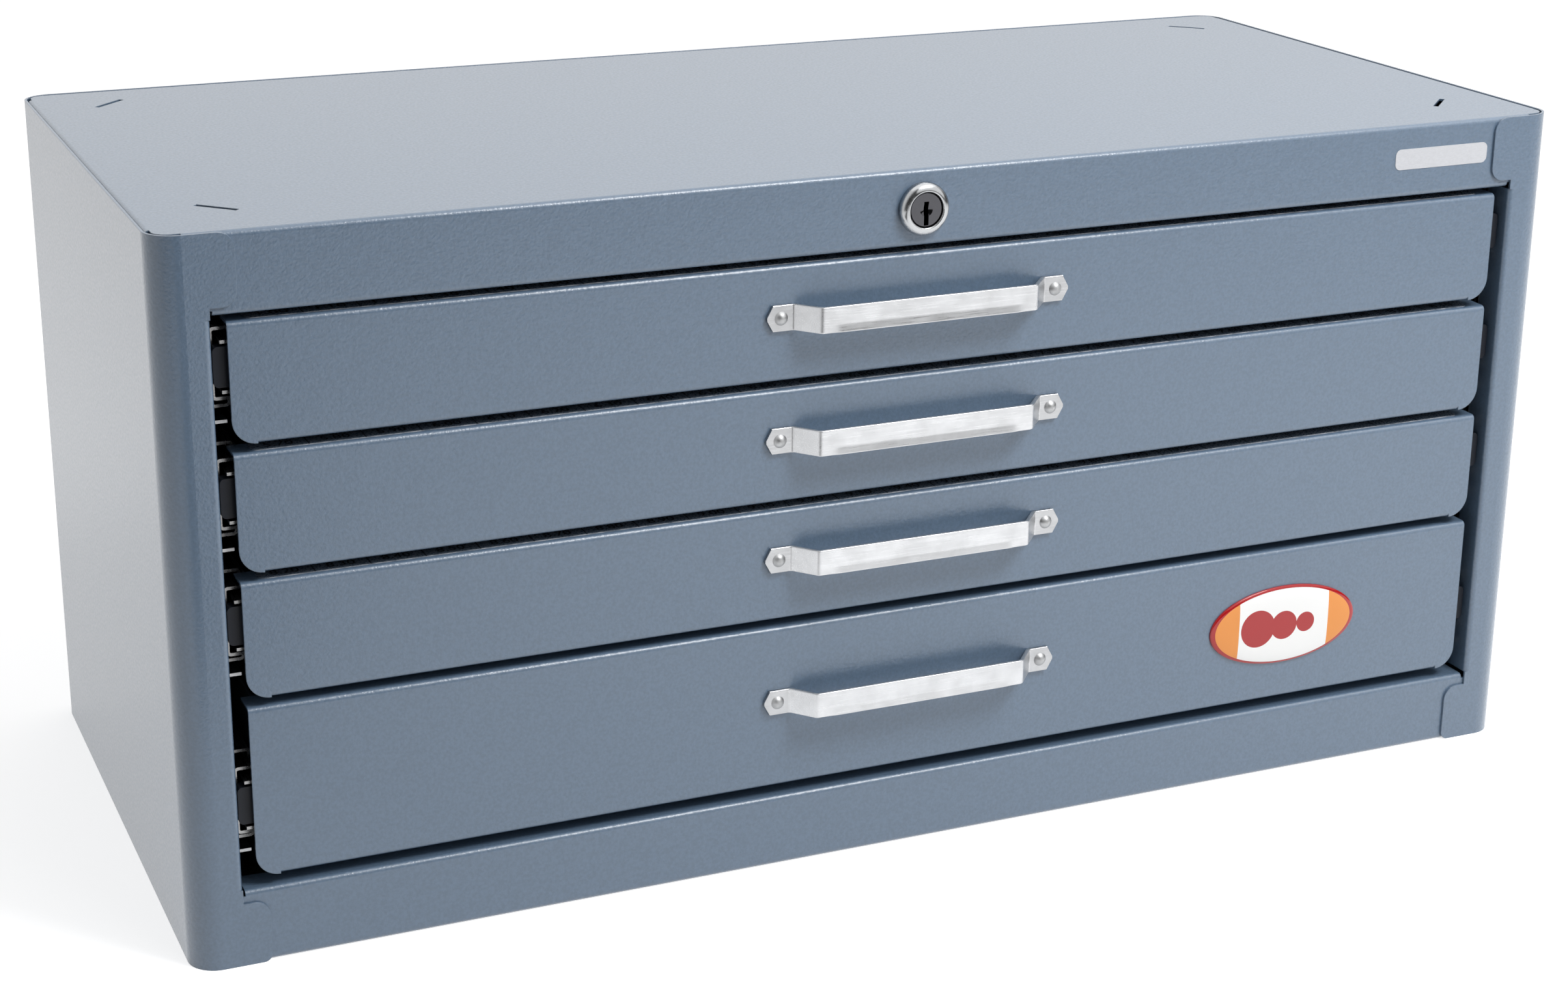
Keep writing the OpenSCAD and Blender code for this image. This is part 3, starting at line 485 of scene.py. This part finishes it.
def badge_resin(name, centre, half):
    """Domed clear resin over a plain print: red rim, white field, orange ends and three discs."""
    resin = Finish(name, Roughness=0.3, Specular_IOR_Level=0.1, Coat_Weight=1.0, Coat_Roughness=0.04)
    tree = resin.tree
    across = maths(tree, "SUBTRACT", resin.along("X"), centre.x)
    up = maths(tree, "SUBTRACT", resin.along("Z"), centre.z)

    def distance(shift, width, height):
        """Distance from a point on the long axis, where an ellipse of that size is at one."""
        x = maths(tree, "DIVIDE", maths(tree, "SUBTRACT", across, shift), width)
        z = maths(tree, "DIVIDE", up, height)
        square = maths(tree, "ADD", maths(tree, "MULTIPLY", x, x), maths(tree, "MULTIPLY", z, z))
        return maths(tree, "SQRT", square)

    past_field = maths(tree, "GREATER_THAN", maths(tree, "ABSOLUTE", across), half.x * BADGE_FIELD)
    colour = resin.over(BADGE_WHITE, past_field, BADGE_ORANGE)
    for shift, radius in BADGE_DISCS:
        disc = distance(half.x * shift, half.z * radius, half.z * radius)
        colour = resin.over(colour, maths(tree, "LESS_THAN", disc, 1.0), BADGE_RED)
    rim = maths(tree, "GREATER_THAN", distance(0.0, half.x, half.z), BADGE_RIM)
    resin.wire("Base Color", resin.over(colour, rim, BADGE_RED))
    resin.wire("Normal", resin.relief(resin.noise(size=5 * MM), depth=0.004 * MM, strength=0.5))
    return resin.material


def finish_nodes():
    """A material for each slot of the record, put on the nodes that use it."""
    first_strip = strips(1)[0]
    finishes = {
        "case_paint": powder_coat("case_paint", PAINT_BLUE_GREY),
        "panel_paint": powder_coat("panel_paint", PAINT_BLUE_GREY),
        "front_paint": powder_coat("front_paint", PAINT_BLUE_GREY),
        "tray_paint": powder_coat("tray_paint", TRAY_GREY),
        "plated_steel": galvanised("plated_steel", PLATED, roughness=0.34),
        # The slides' steel is darkened as painted shade
        "slide_steel": bare_metal("slide_steel", STEEL_WITH_PAINTED_SHADE, roughness=0.3, along=1),
        "ball_steel": polished("ball_steel", CHROME, roughness=0.12),
        "divider_steel": galvanised("divider_steel", PLATED, roughness=0.36),
        # The handle's feet get painted shade past FOOT_FROM
        "handle_zinc": bare_metal("handle_zinc", ZINC, roughness=0.32, along=0, painted_shade_from=FOOT_FROM),
        "rivet_zinc": polished("rivet_zinc", RIVET_ZINC, roughness=0.5),
        "lock_chrome": polished("lock_chrome", CHROME, roughness=0.2),
        # The plug's darkness is a painted reflection
        "plug_chrome": polished("plug_chrome", CHROME_WITH_PAINTED_DARK_REFLECTION, roughness=0.1),
        "black_plastic": moulded("black_plastic", BLACK_PLASTIC, roughness=0.42),
        "number_strip": film("number_strip", STRIP_FILM, front=first_strip[0].y),
        "blank_label": paper("blank_label", PAPER_WHITE),
    }
    for part in frame["record"]["subparts"]:
        if part["material_slot"] in finishes:
            for holder in frame["nodes"][part["node"]].material_slots:
                holder.material = finishes[part["material_slot"]]
    return finishes


# Pieces made here

def add_piece(name, mesh, material, body, smooth_angle):
    mesh.materials.append(material)
    mesh.shade_smooth()
    mesh.set_sharp_from_angle(angle=smooth_angle)
    piece = link(bpy.data.objects.new(name, mesh))
    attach(piece, body)
    return piece


def arc(centre, radius, start, end):
    """Points of a bend and the direction of travel at each, both as plan vectors."""
    turn = 1 if end > start else -1
    angles = [start + (end - start) * k / BEND_STEPS for k in range(BEND_STEPS + 1)]
    return [
        (
            Vector((centre[0] + radius * math.cos(a), centre[1] + radius * math.sin(a))),
            Vector((-math.sin(a), math.cos(a))) * turn,
        )
        for a in angles
    ]


def strap_path(tip_x, front_y, rear_y):
    """Right half of the strap's middle line seen from above, from the grip's middle to the tip."""
    middle_r = BEND_R + STRAP_T / 2
    drop = rear_y - front_y - STRAP_T - 2 * middle_r
    leg = (drop + 2 * middle_r * math.cos(LEG_ANGLE)) / math.sin(LEG_ANGLE)
    run = leg * math.cos(LEG_ANGLE) + 2 * middle_r * math.sin(LEG_ANGLE)
    bar_y = front_y + STRAP_T / 2
    foot_y = rear_y - STRAP_T / 2
    knee = (GRIP_L / 2 - run / 2, bar_y + middle_r)
    heel = (GRIP_L / 2 + run / 2, foot_y - middle_r)
    crease_end = knee[0] - CREASE_FROM_KNEE
    run_out = [CREASE_RUN_OUT * (1 - k / CREASE_STEPS) for k in range(CREASE_STEPS + 1)]
    bar = [0.0, crease_end / 2] + [crease_end - back for back in run_out]
    quarter = math.pi / 2
    along_x = Vector((1, 0))
    path = [(Vector((x, bar_y)), along_x) for x in bar]
    path += arc(knee, middle_r, -quarter, LEG_ANGLE - quarter)
    path += arc(heel, middle_r, LEG_ANGLE + quarter, quarter)
    path += [(Vector((x, foot_y)), along_x) for x in (tip_x - FOOT_POINT, tip_x)]
    return path, crease_end


def rounded_corner(across, up, start):
    """Points of one rounded edge of the strap: a quarter turn from an angle in degrees."""
    angles = [math.radians(start + 90 * k / STRAP_EDGE_STEPS) for k in range(STRAP_EDGE_STEPS + 1)]
    return [(across + STRAP_EDGE_R * math.cos(a), up + STRAP_EDGE_R * math.sin(a)) for a in angles]


def strap_section(half_h, crease):
    """Outline of the strap's section: across its thickness and up its height."""
    half_t = STRAP_T / 2
    in_t = half_t - STRAP_EDGE_R
    in_h = half_h - STRAP_EDGE_R
    flat_h = in_h - STRAP_FLAT_HOLD
    face = [-flat_h, crease - CREASE_R, crease, crease + CREASE_R, flat_h]
    return (
        rounded_corner(in_t, -in_h, -90)
        + [(half_t, up) for up in face]
        + rounded_corner(in_t, in_h, 0)
        + rounded_corner(-in_t, in_h, 90)
        + [(-half_t, up) for up in reversed(face)]
        + rounded_corner(-in_t, -in_h, 180)
    )


def handle_mesh(name, low, high):
    """Strap handle with pointed feet, its lower edge flared forward along a crease."""
    half_h = (high.z - low.z) / 2
    middle_z = (high.z + low.z) / 2
    path, crease_end = strap_path(high.x, low.y + FLARE_REACH, high.y)
    stations = [(Vector((-p.x, p.y)), Vector((d.x, -d.y))) for p, d in reversed(path[1:])] + path
    crease_z = -half_h + CREASE_UP
    build = bmesh.new()
    rings = []
    for point, direction in stations:
        reach = abs(point.x)
        tip = max(0.0, reach - (high.x - FOOT_POINT)) / FOOT_POINT
        squeeze = 1 + (FOOT_TIP_HALF / half_h - 1) * tip
        turned = min(1.0, max(0.0, (crease_end - reach) / CREASE_RUN_OUT))
        eased = turned * turned * (3 - 2 * turned)
        front = Vector((direction.y, -direction.x))
        ring = []
        for across, up in strap_section(half_h, crease_z):
            flare = max(0.0, crease_z - up) / CREASE_UP * FLARE_REACH * eased
            place = point + front * (across + flare)
            ring.append(build.verts.new((place.x, place.y, middle_z + up * squeeze)))
        rings.append(ring)
    for one, two in zip(rings, rings[1:]):
        for k in range(len(one)):
            after = (k + 1) % len(one)
            build.faces.new((one[k], one[after], two[after], two[k]))
    build.faces.new(rings[0])
    build.faces.new(list(reversed(rings[-1])))
    bmesh.ops.recalc_face_normals(build, faces=build.faces)
    return to_mesh(build, name)


def add_handles(material):
    for drawer in range(1, DRAWERS + 1):
        node = f"drawer_{drawer}_handle"
        name = f"drawer_{drawer}_strap"
        mesh = handle_mesh(name, *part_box(node))
        piece = add_piece(name, mesh, material, f"drawer_{drawer}", STRAP_SMOOTH)
        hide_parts(node)


def text_mesh(text):
    """A mesh of a number, its middle at the origin, and the scale that gives it its width."""
    curve = bpy.data.curves.new("number", "FONT")
    curve.body = text
    curve.align_x = "CENTER"
    curve.align_y = "CENTER"
    curve.resolution_u = NUMBER_STEPS
    holder = link(bpy.data.objects.new("number", curve))
    bpy.context.view_layer.update()
    scale = NUMBER_W / holder.dimensions.x
    curve.extrude = INK_T / 2 / scale
    bpy.context.view_layer.update()
    mesh = bpy.data.meshes.new_from_object(holder.evaluated_get(bpy.context.evaluated_depsgraph_get()))
    bpy.data.objects.remove(holder)
    bpy.data.curves.remove(curve)
    return mesh, scale


def add_number(build, text, middle):
    mesh, scale = text_mesh(text)
    start = len(build.verts)
    build.from_mesh(mesh)
    bpy.data.meshes.remove(mesh)
    build.verts.ensure_lookup_table()
    for vertex in build.verts[start:]:
        vertex.co = middle + vertex.co * scale


def add_rule(build, middle, depth):
    for vertex in bmesh.ops.create_cube(build, size=1)["verts"]:
        vertex.co = middle + vertex.co * Vector((RULE_W, depth, INK_T))


def add_row(build, low, high, first, count):
    """Numbers and rules of one strip from its left end; cells past the count stay blank."""
    cells = round((high.x - low.x) / CELL_W)
    left = (low.x + high.x - cells * CELL_W) / 2
    row = Vector((left, (low.y + high.y) / 2, high.z + INK_T / 2))
    for k in range(cells):
        if k < count:
            add_number(build, f"{first + SIZE_STEP * k:.2f}", row + Vector((CELL_W * (k + 0.5), 0, 0)))
        if k > 0:
            add_rule(build, row + Vector((CELL_W * k, 0, 0)), high.y - low.y)


def add_numbers(material):
    first = FIRST_SIZE
    for drawer, counts in NUMBER_COUNTS.items():
        build = bmesh.new()
        for (low, high), count in zip(strips(drawer), counts):
            add_row(build, low, high, first, count)
            first += SIZE_STEP * count
        name = f"drawer_{drawer}_numbers"
        mesh = to_mesh(build, name)
        add_piece(name, mesh, material, f"drawer_{drawer}", NUMBER_SMOOTH)


def badge_mesh(name, low, high):
    """Oval dome, flat at the back, with an upright edge under a curved face."""
    centre = (low + high) / 2
    half = (high - low) / 2
    depth = high.y - low.y
    build = bmesh.new()
    top = build.verts.new((centre.x, low.y, centre.z))
    rings = []
    for r in range(1, BADGE_RINGS + 1):
        out = math.sin(math.pi / 2 * r / BADGE_RINGS)
        rise = BADGE_EDGE + (1 - BADGE_EDGE) * math.sqrt(max(0.0, 1 - out ** 4))
        ring = []
        for k in range(BADGE_STEPS):
            a = 2 * math.pi * k / BADGE_STEPS
            x = centre.x + half.x * out * math.cos(a)
            z = centre.z + half.z * out * math.sin(a)
            ring.append(build.verts.new((x, high.y - depth * rise, z)))
        rings.append(ring)
    rings.append([build.verts.new((v.co.x, high.y, v.co.z)) for v in rings[-1]])
    for k in range(BADGE_STEPS):
        after = (k + 1) % BADGE_STEPS
        build.faces.new((top, rings[0][k], rings[0][after]))
        for one, two in zip(rings, rings[1:]):
            build.faces.new((one[k], two[k], two[after], one[after]))
    build.faces.new(list(reversed(rings[-1])))
    bmesh.ops.recalc_face_normals(build, faces=build.faces)
    return to_mesh(build, name)


def add_badge():
    low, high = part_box("drawer_4_badge")
    mesh = badge_mesh("drawer_4_dome", low, high)
    resin = badge_resin("badge_resin", (low + high) / 2, (high - low) / 2)
    piece = add_piece("drawer_4_dome", mesh, resin, "drawer_4", BADGE_SMOOTH)
    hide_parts("drawer_4_badge")


bpy.context.scene.view_settings.view_transform = "Standard"
add_camera()
light_world()
add_floor()
add_sun("overhead", CEILING_WAY, CEILING_SPREAD, CEILING_STRENGTH)
add_lamp("key", KEY_AT, KEY_AIM, KEY_SIZE, KEY_POWER)
add_lamp("top_box", TOP_BOX_AT, TOP_BOX_AIM, TOP_BOX_SIZE, TOP_BOX_POWER)
finishes = finish_nodes()
add_handles(finishes["handle_zinc"])
add_numbers(moulded("ink", INK_BLACK, roughness=0.45))
add_badge()
